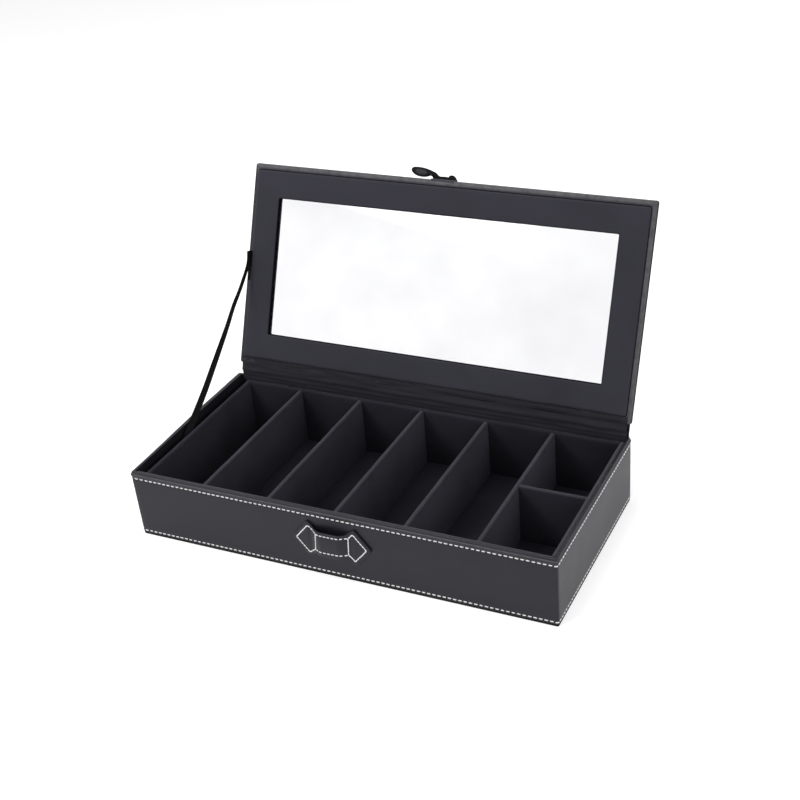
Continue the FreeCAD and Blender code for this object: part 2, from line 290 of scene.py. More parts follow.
def addSpread(tree, value, results, limits=(0, 1), kind="LINEAR"):
    inputs = {"Value": value, "From Min": limits[0], "From Max": limits[1], "To Min": results[0],
              "To Max": results[1]}
    return addNode(tree, "MapRange", inputs, interpolation_type=kind).outputs["Result"]


def addBump(tree, shader, height, distance):
    bump = addNode(tree, "Bump", {"Distance": distance, "Height": height})
    feed(shader, "Normal", bump.outputs["Normal"])


def objectPlace(tree):
    return addNode(tree, "TexCoord").outputs["Object"]


# a node group that turns a place and its settings into a height and a tone
def newSurface(name, settings):
    group = bpy.data.node_groups.new(name, "ShaderNodeTree")
    group.interface.new_socket("Vector", in_out="INPUT", socket_type="NodeSocketVector")
    for key, value in settings.items():
        socket = group.interface.new_socket(key, in_out="INPUT", socket_type="NodeSocketFloat")
        socket.default_value = value
    for key in ("Height", "Tone"):
        group.interface.new_socket(key, in_out="OUTPUT", socket_type="NodeSocketFloat")
    return group, group.nodes.new("NodeGroupInput").outputs, group.nodes.new("NodeGroupOutput")


# Pebbled leatherette: cells with soft valleys, fine pores, and slow cloudiness.
def makeGrainGroup():
    group, given, end = newSurface("leatherGrain", {"Cells per metre": 1400.0})
    place = given["Vector"]
    warp = addNoise(group, place, 260, 2)["Color"]
    bend = addNode(group, "VectorMath", {0: warp, 1: (0.0012, 0.0012, 0.0012), 2: place},
                   operation="MULTIPLY_ADD").outputs[0]
    cells = addNode(group, "TexVoronoi",
                    {"Vector": bend, "Scale": given["Cells per metre"], "Smoothness": 0.35}, feature="SMOOTH_F1")
    dome = addMath(group, "SUBTRACT", 1.0, cells.outputs["Distance"])
    pores, cloud = addNoise(group, place, 5200, 3)["Fac"], addNoise(group, place, 32, 4)["Fac"]
    feed(end, "Height", addMath(group, "MULTIPLY_ADD", pores, 0.25, dome))
    coarse, fine = addMath(group, "MULTIPLY", cloud, 0.7), addMath(group, "MULTIPLY", dome, 0.3)
    feed(end, "Tone", addMath(group, "ADD", coarse, fine))
    return group


# Cloth pile: short fibres, and brushed patches that lean another way.
def makePileGroup():
    group, given, end = newSurface("clothPile", {"Fibres per metre": 2600.0, "Patches per metre": 18.0})
    fibres = addNoise(group, given["Vector"], given["Fibres per metre"], 3, Roughness=0.7)["Fac"]
    patches = addNoise(group, given["Vector"], given["Patches per metre"], 3, Distortion=0.6)["Fac"]
    feed(end, "Height", fibres)
    coarse, fine = addMath(group, "MULTIPLY", patches, 0.6), addMath(group, "MULTIPLY", fibres, 0.4)
    feed(end, "Tone", addMath(group, "ADD", coarse, fine))
    return group


grainGroup = makeGrainGroup()
pileGroup = makePileGroup()


# A material with its constant values set on the shader's own sockets.
def newMaterial(name, **constants):
    material = bpy.data.materials.new(name)
    material.use_nodes = True
    shader = material.node_tree.nodes["Principled BSDF"]
    for socketName, value in constants.items():
        shader.inputs[socketName.replace("_", " ")].default_value = value
    return material, material.node_tree, shader


def grey(value, tint=(1.0, 1.0, 1.0)):
    return (value * tint[0], value * tint[1], value * tint[2], 1.0)


# Wires a surface group's tone to colour and roughness and its height to a bump, and gives its tone and colour.
def dress(tree, shader, group, settings, dark, light, rough, bumpHeight):
    surface = addNode(tree, "Group", {"Vector": objectPlace(tree), **settings}, node_tree=group).outputs
    colour = addRamp(tree, surface["Tone"], dark, light, (0.35, 0.65))
    feed(shader, "Base Color", colour)
    feed(shader, "Roughness", addSpread(tree, surface["Tone"], rough))
    addBump(tree, shader, surface["Height"], bumpHeight)
    return surface["Tone"], colour


# base colour turns from one colour to another by a factor that changes over the surface
def mixColour(tree, shader, colour, factor, other):
    mix = addNode(tree, "Mix", {0: factor, 6: colour, 7: other}, data_type="RGBA")
    feed(shader, "Base Color", mix.outputs[2])


def dressLeather(tree, shader, look):
    return dress(tree, shader, grainGroup, {"Cells per metre": leatherLook["cellsPerMetre"]}, look["dark"],
                 look["light"], look["rough"], leatherLook["bump"])


# tone scales the cloth's colour
def dressPile(tree, shader, look, tone=1):
    settings = {"Fibres per metre": look["fibresPerMetre"], "Patches per metre": look["patchesPerMetre"]}
    dark, light = (tuple(value * tone for value in look[end]) + (1,) for end in ("dark", "light"))
    return dress(tree, shader, pileGroup, settings, dark, light, look["rough"], look["bump"])


leatherLook = {"dark": grey(0.0055, (1, 0.97, 1.3)), "light": grey(0.0095, (1, 0.97, 1.3)), "rough": (0.37, 0.50),
               "cellsPerMetre": 1500.0, "bump": 0.00006, "gloss": 0.32,
               "paintedHighlight": (0.074, 0.073, 0.075, 1), "patchScale": 230, "patchGain": 1.6}


# leather with a painted highlight turns patchily lighter where the piece's layer marks it
def makeLeather(name, paintedHighlight=False):
    material, tree, shader = newMaterial(name, Specular_IOR_Level=leatherLook["gloss"],
                                         Specular_Tint=(0.91, 0.88, 1.0, 1))
    _, colour = dressLeather(tree, shader, leatherLook)
    if paintedHighlight:
        layer = addNode(tree, "Attribute", attribute_name="paintedHighlight").outputs["Fac"]
        patches = addNoise(tree, objectPlace(tree), leatherLook["patchScale"], 4)["Fac"]
        patchy = addMath(tree, "MULTIPLY", patches, leatherLook["patchGain"])
        mixColour(tree, shader, colour, addMath(tree, "MULTIPLY", layer, patchy), leatherLook["paintedHighlight"])
    return material


tongueLook = {"dark": (0.028, 0.027, 0.031, 1), "light": (0.044, 0.043, 0.047, 1), "rough": (0.5, 0.62),
              "gloss": 0.09, "borderFrom": 0.3 * mm, "borderTo": 1.9 * mm, "borderPaintedShade": 0.06}


# The tongue's leather is duller and darker, with its colour darkened towards the leaf's border as painted shade
# round the padding, so the middle between two points stays lighter.
def makeTongueLeather(*foci):
    material, tree, shader = newMaterial("tongueLeather", Specular_IOR_Level=tongueLook["gloss"])
    _, colour = dressLeather(tree, shader, tongueLook)
    place = objectPlace(tree)
    distances = [addNode(tree, "VectorMath", {0: place, 1: focus}, operation="DISTANCE").outputs["Value"]
                 for focus in foci]
    apart = (foci[0] - foci[1]).length
    limits = (apart + tongueLook["borderFrom"], apart + tongueLook["borderTo"])
    factor = addSpread(tree, addMath(tree, "ADD", *distances), (1, tongueLook["borderPaintedShade"]), limits, "SMOOTHSTEP")
    scaled = addNode(tree, "VectorMath", {0: colour, "Scale": factor}, operation="SCALE")
    feed(shader, "Base Color", scaled.outputs[0])
    return material


clothSheen = (0.88, 0.86, 1.0, 1)
velvetLook = {"dark": (0.0105, 0.0103, 0.0142), "light": (0.019, 0.0187, 0.0255), "rough": (0.85, 1.0),
              "fibresPerMetre": 3200.0, "patchesPerMetre": 16.0, "bump": 0.00018, "sheen": 0.12,
              "topHighlight": (0.062, 0.061, 0.066, 1), "topHighlightHeights": (0.0563, 0.0578), "topHighlightGain": 1.6}


# how far the tops are lightened by height, as a painted highlight
def makeVelvet(name, tone, topHighlight):
    material, tree, shader = newMaterial(name, Specular_IOR_Level=0.08, Sheen_Weight=velvetLook["sheen"],
                                         Sheen_Roughness=0.4, Sheen_Tint=clothSheen)
    shade, colour = dressPile(tree, shader, velvetLook, tone)
    if topHighlight:
        height = addNode(tree, "SeparateXYZ", {0: objectPlace(tree)}).outputs["Z"]
        rise = addSpread(tree, height, (0, topHighlight * velvetLook["topHighlightGain"]), velvetLook["topHighlightHeights"], "SMOOTHSTEP")
        mixColour(tree, shader, colour, addMath(tree, "MULTIPLY", rise, shade), velvetLook["topHighlight"])
    return material


suedeLook = {"dark": (0.026, 0.0252, 0.0335), "light": (0.036, 0.035, 0.046), "rough": (0.8, 0.95),
             "fibresPerMetre": 2400.0, "patchesPerMetre": 11.0, "bump": 0.00008, "sheen": 0.08}


def makeSuede(name, tone, gloss=0.15, sheen=suedeLook["sheen"]):
    material, tree, shader = newMaterial(name, Specular_IOR_Level=gloss, Sheen_Weight=sheen,
                                         Sheen_Roughness=0.5, Sheen_Tint=clothSheen)
    dressPile(tree, shader, suedeLook, tone)
    return material


feltLook = {"dark": (0.012, 0.012, 0.012), "light": (0.026, 0.026, 0.026), "rough": (0.9, 1.0), "gloss": 0.1,
            "fibresPerMetre": 1500.0, "patchesPerMetre": 40.0, "bump": 0.0003}
boardLook = {"dark": (0.22, 0.15, 0.09), "light": (0.33, 0.24, 0.16), "rough": (0.8, 0.95), "gloss": 0.2,
             "fibresPerMetre": 900.0, "patchesPerMetre": 60.0, "bump": 0.0001}


def makePlain(name, look):
    material, tree, shader = newMaterial(name, Specular_IOR_Level=look["gloss"])
    dressPile(tree, shader, look)
    return material


# White thread: two plies twisted round each other.
def makeThread():
    material, tree, shader = newMaterial("whiteThread", Roughness=0.7, Specular_IOR_Level=0.3, Sheen_Weight=0.2)
    twist = addWave(tree, objectPlace(tree), 420, "DIAGONAL", 1.5)
    colour = addRamp(tree, twist, (0.74, 0.74, 0.75, 1), (0.93, 0.93, 0.94, 1))
    feed(shader, "Base Color", colour)
    addBump(tree, shader, twist, 0.0001)
    return material


# Clear plastic with a faint haze of fine wipe marks.
def makePane():
    material, tree, shader = newMaterial("clearPane", Transmission_Weight=1.0, IOR=1.33, Specular_IOR_Level=0.5)
    haze = addNoise(tree, objectPlace(tree), 14, 5)["Fac"]
    tint = addRamp(tree, haze, (0.70, 0.70, 0.715, 1), (0.78, 0.78, 0.79, 1), (0.3, 0.7))
    feed(shader, "Base Color", tint)
    feed(shader, "Roughness", addSpread(tree, haze, (0.01, 0.05)))
    return material


# Ribbed ribbon: fine ribs across, read from the piece's own map.
def makeRibbon():
    material, tree, shader = newMaterial("blackRibbon", Specular_IOR_Level=0.05, Roughness=0.7)
    place = addNode(tree, "UVMap", uv_map="along").outputs["UV"]
    ribs, threads = addWave(tree, place, 420, "X", 0.4), addWave(tree, place, 700, "Y")
    height = addMath(tree, "MULTIPLY_ADD", threads, 0.35, ribs)
    feed(shader, "Base Color", addRamp(tree, height, grey(0.004), grey(0.013)))
    addBump(tree, shader, height, 0.00008)
    return material


leather = makeLeather("blackLeatherette")
paintedHighlightLeather = makeLeather("leatheretteWithPaintedHighlight", paintedHighlight=True)
# The velvet copies differ in tone as painted light: walls, dividers and the front and right tray walls are made
# lighter than the floor to stand in for light that falls short on them, and the tops get a painted highlight
velvetFloor = makeVelvet("floorVelvet", 1.15, 0)
velvetWall = makeVelvet("wallVelvet", 1.3, 0)
velvetDivider = makeVelvet("dividerVelvet", 1.75, 0.5)
velvetEdge = makeVelvet("edgeVelvet", 1.3, 1.0)
suede = makeSuede("liningSuede", 1.0)
hingeCloth = makeSuede("hingeCloth", 0.6)
edging = makeSuede("darkEdging", 0.15, gloss=0.03, sheen=0)
felt = makePlain("blackFelt", feltLook)
board = makePlain("fibreBoard", boardLook)
thread = makeThread()
clearPane = makePane()
ribbonCloth = makeRibbon()
print("materials made")


# Stitches: one low capsule for each dash, its ends pressed into the leather
def makeStitchShape():
    bm = bmesh.new()
    made = bmesh.ops.create_uvsphere(bm, u_segments=6, v_segments=6, radius=1,
                                     matrix=Matrix.Rotation(math.pi / 2, 4, "Y"))["verts"]
    for vertex in made:
        reach = min(1, abs(vertex.co.x))
        around = Vector((vertex.co.y, vertex.co.z))
        if around.length > 1e-6:
            around = around.normalized() * (1 - reach ** 6) ** 0.35
        vertex.co = Vector((vertex.co.x, around.x, around.y - 0.55 * reach ** 4))
    bmesh.ops.recalc_face_normals(bm, faces=bm.faces)
    return meshFrom(bm, "stitchShape")


stitchShape = makeStitchShape()


def addStitch(bm, point, along, outwards, size, rng):
    side = outwards.cross(along).normalized()
    tilt = math.radians(rng.uniform(-size["tilt"], size["tilt"]))
    along, side = along * math.cos(tilt) + side * math.sin(tilt), side * math.cos(tilt) - along * math.sin(tilt)
    length = size["length"] * rng.uniform(0.94, 1.05)
    turned = Matrix((along, side, outwards)).transposed().to_4x4()
    scale = Matrix.Diagonal((length / 2, size["width"] / 2, size["height"] / 2, 1))
    centre = point + outwards * (size["height"] * 0.22) + side * rng.uniform(-0.05, 0.05) * mm
    dash = stitchShape.copy()
    dash.transform(Matrix.Translation(centre) @ turned @ scale)
    bm.from_mesh(dash)
    bpy.data.meshes.remove(dash)


threadSize = {"length": 3.1 * mm, "width": 1.15 * mm, "height": 0.8 * mm, "pitch": 4.4 * mm, "tilt": 3.0}

# Case wrap: leatherette over the boards, puffed between the top stitches and the rim
caseLow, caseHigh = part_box("leather_wrap")
caseOutline = Outline(caseLow, caseHigh, 2.0 * mm)
caseWrap = {
    "profile": [
        (12.0, 0.30), (1.7, 0.30), (0.95, 0.36), (0.62, 0.62), (0.55, 1.1), (0.5, 1.9), (0.36, 2.2), (0.12, 2.5),
        (0.04, 3.1), (0.14, 3.7), (0.30, 4.2), (0.14, 4.8), (0.02, 5.6), (-0.04, 8.0), (-0.06, 20.0), (-0.06, 38.0),
        (-0.04, 52.5), (0.04, 54.5), (0.18, 55.35), (0.36, 56.0), (0.20, 56.6), (0.0, 57.2), (-0.24, 57.9),
        (-0.46, 58.7), (-0.52, 59.2), (-0.46, 59.6), (-0.28, 59.95), (-0.02, 60.2), (0.16, 60.4), (0.24, 60.65),
        (0.33, 61.1), (0.46, 61.5), (0.68, 61.82), (1.05, 61.98), (2.3, 62.06), (2.46, 61.9), (2.5, 61.4),
        (2.5, 55.0), (2.5, 42.0), (2.1, 42.0), (2.1, 61.0), (0.8, 60.7), (0.62, 56.0), (0.62, 2.4), (0.9, 0.8),
        (12.0, 0.8)],
    "cuts": (90, 44), "topRow": 56.0 * mm, "lowRow": 4.2 * mm, "rowInset": 0.30 * mm,
    "waves": [(1, 42 * mm, 3.1), (0.5, 15 * mm, 8.2)], "waviness": 0.10 * mm, "wavyFrom": 2.5 * mm,
    "wavyTo": 61.9 * mm, "faceDepth": 1.2 * mm, "rimWidth": 2.5 * mm,
    "highlightFrom": 59.5 * mm, "highlightTo": 60.3 * mm, "highlightDepth": 0.6 * mm, "highlightShare": 0.75,
    "leanFront": 2.2 * mm, "leanRear": 5.0 * mm, "leanGrowth": 0.7, "leanInner": 0.5, "leanFrom": 12 * mm,
    "leanSoft": 8 * mm, "leanCuts": 16,
    "foot": [(0.9, 0.32), (0.42, 0.36), (0.28, 0.5), (0.24, 1.2), (0.28, 1.85), (0.45, 2.05), (0.9, 2.0)]}


# the left wall leans out towards its rim, more at the rear, and less on its inner face, so that its rim is wider
def leanOut(point):
    half = caseOutline.half
    growth = (point.y + half.y) / (2 * half.y * caseWrap["leanGrowth"])
    amount = caseWrap["leanFront"] + eased(caseWrap["leanRear"] - caseWrap["leanFront"], growth)
    amount *= 1 - caseWrap["leanInner"] * clamp((point.x + half.x) / caseWrap["rimWidth"])
    reach = clamp((-point.x - half.x + caseWrap["leanFrom"]) / caseWrap["leanSoft"])
    return Vector((-amount * reach * point.z / caseHigh.z, 0, 0))


def makeLeftBoard():
    low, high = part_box("left_wall_board")
    bm = bmesh.new()
    addBox(bm, low, high)
    for number in range(1, caseWrap["leanCuts"]):
        cutAcross(bm, low.lerp(high, number / caseWrap["leanCuts"]), (0, 1, 0))
    for vertex in bm.verts:
        vertex.co += leanOut(vertex.co)
    finished(bm, "leftWallBoard", "case", "board", board, ["left_wall_board"])


def makeCaseWrap():
    bm = bmesh.new()
    sweepRound(bm, rowsOf(caseOutline, caseWrap["profile"]), *caseWrap["cuts"])
    outer = caseOutline.half
    paintedHighlight = bm.verts.layers.float.new("paintedHighlight")
    for vertex in bm.verts:
        # painted highlight: the front face's puffed crest is marked lighter
        onLine = caseWrap["highlightFrom"] < vertex.co.z < caseWrap["highlightTo"]
        if onLine and vertex.co.y < -outer.y + caseWrap["highlightDepth"]:
            vertex[paintedHighlight] = caseWrap["highlightShare"]
        if caseWrap["wavyFrom"] < vertex.co.z < caseWrap["wavyTo"]:
            push = ripples(vertex.co, caseWrap["waves"]) * caseWrap["waviness"]
            onSide, onEnd = (abs(vertex.co[axis]) > outer[axis] - caseWrap["faceDepth"] for axis in (0, 1))
            if onSide != onEnd:
                vertex.co[0 if onSide else 1] += push
        vertex.co += leanOut(vertex.co)
    finished(bm, "leatherWrap", "case", "leatherette", paintedHighlightLeather, ["leather_wrap"])


def makeCaseStitches():
    bm = bmesh.new()
    rng = random.Random(11)
    for height in (caseWrap["topRow"], caseWrap["lowRow"]):
        for point, along, outwards in caseOutline.walk(caseWrap["rowInset"], threadSize["pitch"]):
            point = point + Vector((0, 0, height))
            addStitch(bm, point + leanOut(point), along, outwards, threadSize, rng)
    finished(bm, "caseStitches", "case", "leatherette", thread)


makeCaseWrap()
makeLeftBoard()
# a dark felt band round the foot, below the leather, stands in for the shade along the floor: painted shade
makeSwept(rowsOf(caseOutline, caseWrap["foot"]), caseWrap["cuts"], "footEdge", "case", "felt", felt)
makeCaseStitches()
print("case wrap made")

# Lid: cover drawn round the board, into the window and over the inner margin
coverLow, coverHigh = closedBox("lid_cover")
linerLow, linerHigh = closedBox("lid_liner")
lidOutline = Outline(coverLow, coverHigh, 2.0 * mm)
windowReach = Vector((27.8 * mm, 29.3 * mm, 0))
windowOutline = Outline(coverLow + windowReach, coverHigh - windowReach, 1.3 * mm)
linerOutline = Outline(linerLow + Vector((0, 1.2 * mm, 0)), linerHigh, 2.0 * mm)
lidCover = {
    "rim": [
        (10.0, 69.0), (6.4, 69.0), (5.7, 68.92), (5.1, 68.66), (4.5, 68.92), (3.6, 69.08), (2.2, 69.08),
        (1.2, 68.9), (0.5, 68.5), (0.12, 67.85), (0.0, 67.0), (0.0, 64.2), (0.07, 63.4), (0.28, 62.85), (0.7, 62.55),
        (1.4, 62.42), (2.6, 62.36)],
    "fold": [(-0.7, 62.38), (-0.35, 62.58), (-0.15, 63.0), (0.3, 63.0)],
    "inside": [(0.5, 62.82), (0.5, 68.5), (10.0, 68.5)],
    "window": [
        (-10.0, 68.5), (-0.5, 68.4), (-0.5, 64.45), (0.0, 64.45), (0.0, 67.8), (-0.12, 68.4), (-0.6, 68.88),
        (-1.6, 69.06), (-3.4, 69.06), (-4.3, 68.92), (-4.9, 68.66), (-5.5, 68.92), (-6.2, 69.0), (-10.0, 69.0)],
    "cuts": (60, 28), "rimRow": 5.1 * mm, "windowRow": -4.9 * mm, "rowHeight": 68.7 * mm,
    "waviness": 0.06 * mm, "waveSize": 30 * mm, "wavyAbove": 68.6 * mm, "wavyBelow": 62.7 * mm,
    "highlightBelow": 63.2 * mm, "highlightReach": 3.2 * mm}


def makeLidCover():
    bm = bmesh.new()
    rows = rowsOf(lidOutline, lidCover["rim"]) + rowsOf(linerOutline, lidCover["fold"])
    rows += rowsOf(lidOutline, lidCover["inside"]) + rowsOf(windowOutline, lidCover["window"])
    sweepRound(bm, rows, *lidCover["cuts"])
    paintedHighlight = bm.verts.layers.float.new("paintedHighlight")
    for vertex in bm.verts:
        if vertex.co.z > lidCover["wavyAbove"] or vertex.co.z < lidCover["wavyBelow"]:
            vertex.co.z += ripple(vertex.co, lidCover["waveSize"], 5.5) * lidCover["waviness"]
        # painted highlight: the inner margin along the front and right sides is marked lighter
        front, right = vertex.co.y - coverLow.y, coverHigh.x - vertex.co.x
        if vertex.co.z < lidCover["highlightBelow"] and min(front, right) < lidCover["highlightReach"]:
            vertex[paintedHighlight] = 1
    finished(bm, "lidCover", "lid", "leatherette", paintedHighlightLeather, ["lid_cover"], placed=swing)


def makeLidStitches():
    bm = bmesh.new()
    rng = random.Random(12)
    up = Vector((0, 0, 1))
    for outline, inset in ((lidOutline, lidCover["rimRow"]), (windowOutline, lidCover["windowRow"])):
        for point, along, _ in outline.walk(inset, threadSize["pitch"]):
            addStitch(bm, point + up * lidCover["rowHeight"], along, up, threadSize, rng)
    finished(bm, "lidStitches", "lid", "leatherette", thread, placed=swing)


# Lid liner: raised panel in suede cloth round the window
lidLiner = {
    "rim": [(3.5, 60.38), (2.2, 60.37), (1.2, 60.42), (0.55, 60.62), (0.18, 60.95), (0.0, 61.5), (0.0, 62.8)],
    "window": [(0.0, 62.8), (0.0, 61.5), (-0.06, 60.95), (-0.3, 60.62), (-0.8, 60.44), (-1.6, 60.38), (-3.5, 60.38)],
    "acrossRows": 5, "waviness": 0.10 * mm, "waves": [(1, 55 * mm, 2.4), (0.4, 18 * mm, 6.6)],
    "wavyBelow": 61 * mm, "edgeWaviness": 0.7 * mm, "edgeWaves": [(1, 22 * mm, 4.4), (0.5, 9 * mm, 1.8)],
    "edgeShift": 0.3, "edgeReach": 1.5 * mm, "edgeBelow": 62.5 * mm,
    "trim": [(-0.2, 60.95), (0.2, 60.8), (0.42, 60.95), (0.45, 61.3), (0.45, 62.75), (-0.2, 62.75)],
    "outerTrim": [(-0.2, 64.5), (0.3, 64.5), (0.3, 67.6), (0.15, 67.9), (-0.2, 67.9)],
    "lidEdge": [(0.6, 68.5), (0.12, 68.15), (-0.12, 67.4), (-0.16, 66.0), (-0.12, 64.7), (0.3, 64.5), (0.5, 66.5)]}


def makeLidLiner():
    bm = bmesh.new()
    rows = rowsOf(linerOutline, lidLiner["rim"]) + rowsOf(windowOutline, lidLiner["window"])
    count = lidLiner["acrossRows"]
    rows += [(rows[-1], rows[0], number / count) for number in range(1, count)]
    sweepRound(bm, rows, *lidCover["cuts"])
    for vertex in bm.verts:
        if vertex.co.z < lidLiner["wavyBelow"]:
            vertex.co.z += ripples(vertex.co, lidLiner["waves"]) * lidLiner["waviness"]
        if vertex.co.y > linerHigh.y - lidLiner["edgeReach"] and vertex.co.z < lidLiner["edgeBelow"]:
            push = ripples(vertex.co, lidLiner["edgeWaves"]) - lidLiner["edgeShift"]
            vertex.co.y += push * lidLiner["edgeWaviness"]
    finished(bm, "lidLiner", "lid", "lining", suede, ["lid_liner"], placed=swing)


lidBoard = {
    "outside": [(8.0, 63.4), (1.7, 63.4), (0.7, 64.7), (0.52, 65.4), (0.52, 68.48), (8.0, 68.48)],
    "window": [(-8.0, 68.48), (-0.52, 68.48), (-0.52, 64.42), (-7.2, 64.42), (-7.2, 63.4)]}

makeLidCover()
makeLidStitches()
makeLidLiner()
# dark edging tape round the window, on both sides of the pane, and along the lid's outer edge
for name, outline, rows in (("windowTrim", windowOutline, "trim"), ("windowOuterTrim", windowOutline, "outerTrim"),
                            ("lidEdgeTrim", lidOutline, "lidEdge")):
    makeSwept(rowsOf(outline, lidLiner[rows]), (40, 20), name, "lid", "lining", edging, placed=swing)
# the board keeps its shape, with the window's corners as tight as the leather's
makeSwept(rowsOf(lidOutline, lidBoard["outside"]) + rowsOf(windowOutline, lidBoard["window"]), (4, 2),
          "lidBoard", "lid", "board", board, ["lid_board"], placed=swing)
print("lid made")


# Tray: velvet drawn over thin boards, so tops are round and faces not quite flat
# the cloth bulges above the front and right boards; the front one also closes the ribbon's channel
tray = {"softTop": 1.7 * mm, "topSegments": 5, "step": 6 * mm, "cutsUp": 8, "easeReach": 12 * mm,
        "waviness": 0.22 * mm, "leanSize": 60 * mm, "leanShare": 0.9, "puffSize": 24 * mm, "puffShare": 0.45,
        "topWaviness": 0.18 * mm, "topSize": 20 * mm, "topFrom": 0.9,
        "bulge": {"tray_front_wall": (Vector((-5.4, 0, 0)) * mm, Vector((0, 0, 2.1)) * mm),
                  "tray_right_wall": (Vector(), Vector((0, 0, 2.1)) * mm)},
        "floorCuts": (90, 44), "floorSize": 26 * mm, "floorWaviness": 0.15}


# run is the axis that the board runs along
def makeSoftBoard(node, seed, run, cloth):
    low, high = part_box(node)
    before, beyond = tray["bulge"].get(node, (Vector(), Vector()))
    low, high = low + before, high + beyond
    size, middle, across = high - low, (low + high) / 2, 1 - run
    bm = bmesh.new()
    addBox(bm, low, high)
    top = [edge for edge in bm.edges if min(vertex.co.z for vertex in edge.verts) > high.z - 1e-6
           and abs(edge.verts[0].co[run] - edge.verts[1].co[run]) > 1e-4]
    roundOff(bm, top, tray["softTop"], tray["topSegments"], "EDGES")
    along = Vector((across, run, 0))
    count = round(size[run] / tray["step"])
    for number in range(1, count):
        cutAcross(bm, low + along * (size[run] * number / count), along)
    for number in range(1, tray["cutsUp"]):
        cutAcross(bm, (0, 0, low.z + size.z * number / tray["cutsUp"]), (0, 0, 1))
    for vertex in bm.verts:
        rise = (vertex.co.z - low.z) / size.z
        ease = min(1, min(vertex.co[run] - low[run], high[run] - vertex.co[run]) / tray["easeReach"])
        side = 1 if vertex.co[across] > middle[across] else -1
        lean = ripple(Vector((vertex.co[run], seed, 0)), tray["leanSize"], seed) * tray["leanShare"]
        puff = ripple(vertex.co, tray["puffSize"], seed + side) * tray["puffShare"]
        vertex.co[across] += (lean * rise * rise + puff) * tray["waviness"] * ease
        if rise > tray["topFrom"]:
            bump = ripple(Vector((vertex.co[run], 0, seed)), tray["topSize"], seed)
            vertex.co.z += bump * tray["topWaviness"] * ease
    finished(bm, node.replace("_", "") + "Cloth", "case", "velvet", cloth, [node])


def makeTrayFloor():
    low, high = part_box("tray_floor")
    bm = bmesh.new()
    cutsX, cutsY = tray["floorCuts"]
    bmesh.ops.create_grid(bm, x_segments=cutsX, y_segments=cutsY, size=1)
    size, middle = (high - low) / 2, (low + high) / 2
    for vertex in bm.verts:
        vertex.co = Vector((middle.x + vertex.co.x * size.x, middle.y + vertex.co.y * size.y, high.z))
        vertex.co.z += ripple(vertex.co, tray["floorSize"], 9.3) * tray["floorWaviness"] * mm
    for vertex in vertsOf(bmesh.ops.extrude_face_region(bm, geom=bm.faces[:])):
        vertex.co.z = low.z
    finished(bm, "trayFloorCloth", "case", "velvet", velvetFloor, ["tray_floor"])


makeTrayFloor()
acrossBoards = {"tray_front_wall": velvetEdge, "tray_rear_wall": velvetWall, "cross_divider": velvetDivider}
for seed, (node, cloth) in enumerate(acrossBoards.items()):
    makeSoftBoard(node, 3.3 + seed * 1.7, 0, cloth)
deepBoards = {"tray_left_wall": velvetWall, "tray_right_wall": velvetEdge}
deepBoards.update({"divider_%d" % number: velvetDivider for number in range(1, 6)})
for seed, (node, cloth) in enumerate(deepBoards.items()):
    makeSoftBoard(node, 11.9 + seed * 2.3, 1, cloth)
print("tray made")


# Strips whose side view follows a line: the hinge leather, its lining, and the ribbon
# a short list of points smoothed by repeated corner cutting, as evenly spaced points, and the length
def smoothLine(points, steps):
    line = [Vector(point) for point in points]
    for _ in range(3):
        cut = [line[0]]
        for start, end in zip(line, line[1:]):
            cut += [start.lerp(end, 0.25), start.lerp(end, 0.75)]
        cut.append(line[-1])
        line = cut
    lengths = [0]
    for start, end in zip(line, line[1:]):
        lengths.append(lengths[-1] + (end - start).length)

    def at(share):
        distance = share * lengths[-1]
        for index in range(len(line) - 1):
            if distance <= lengths[index + 1] or index == len(line) - 2:
                span = lengths[index + 1] - lengths[index]
                return line[index].lerp(line[index + 1], (distance - lengths[index]) / span if span else 0)

    return [at(number / steps) for number in range(steps + 1)], lengths[-1]


# a point of the closed lid's side view, in millimetres, swung open
def openPoint(y, z):
    return swing @ Vector((0, y * mm, z * mm))


wrinkles = {"alongX": 1.6, "alongZ": 2.2, "size": 5 * mm}


# A thin strip along X whose side view follows a line, grown by its thickness to one side, with its cloth uneven.
def makeStrip(name, line, halfWidth, look, inward, material, slot, replaced, seed):
    bm = bmesh.new()
    rows, uneven, thickness = len(line) - 1, look["uneven"], look["thickness"]
    bmesh.ops.create_grid(bm, x_segments=look["cuts"], y_segments=rows, size=1)
    for vertex in bm.verts:
        row = round((vertex.co.y + 1) / 2 * rows)
        vertex.co = Vector((vertex.co.x * halfWidth, line[row].y, line[row].z))
    bm.normal_update()
    for vertex in bm.verts:
        share = ripple(Vector((vertex.co.x, vertex.co.z * uneven["foldsAcross"], 0)), uneven["size"], seed)
        gathered = max(0, 1 - (halfWidth - abs(vertex.co.x)) / uneven["gatherReach"])
        packed = Vector((vertex.co.x * wrinkles["alongX"], 0, vertex.co.z * wrinkles["alongZ"]))
        wrinkle = ripple(packed, wrinkles["size"], seed + 3)
        vertex.co += vertex.normal * (share * uneven["height"] + wrinkle * gathered * uneven["gatherHeight"])
    bmesh.ops.recalc_face_normals(bm, faces=bm.faces)
    bm.normal_update()
    sample = sum((face.normal for face in bm.faces), Vector()).normalized()
    grow = thickness if sample.dot(inward) > 0 else -thickness
    bmesh.ops.solidify(bm, geom=bm.faces[:], thickness=grow)
    return finished(bm, name, None, slot, material, replaced)


hingeStrip = {
    "outside": [(0.0, 0.0911, 0.0608), (0.0, 0.0911, 0.0626), (0.0, 0.0917, 0.0650), (0.0, 0.0932, 0.0688),
                (0.0, 0.0944, 0.0718)],
    "lidEnd": (90.1, 69.02), "steps": 24, "cuts": 120, "thickness": 0.5 * mm,
    "uneven": {"height": 0.10 * mm, "size": 35 * mm, "foldsAcross": 3, "gatherReach": 20 * mm,
               "gatherHeight": 0.1 * mm}}
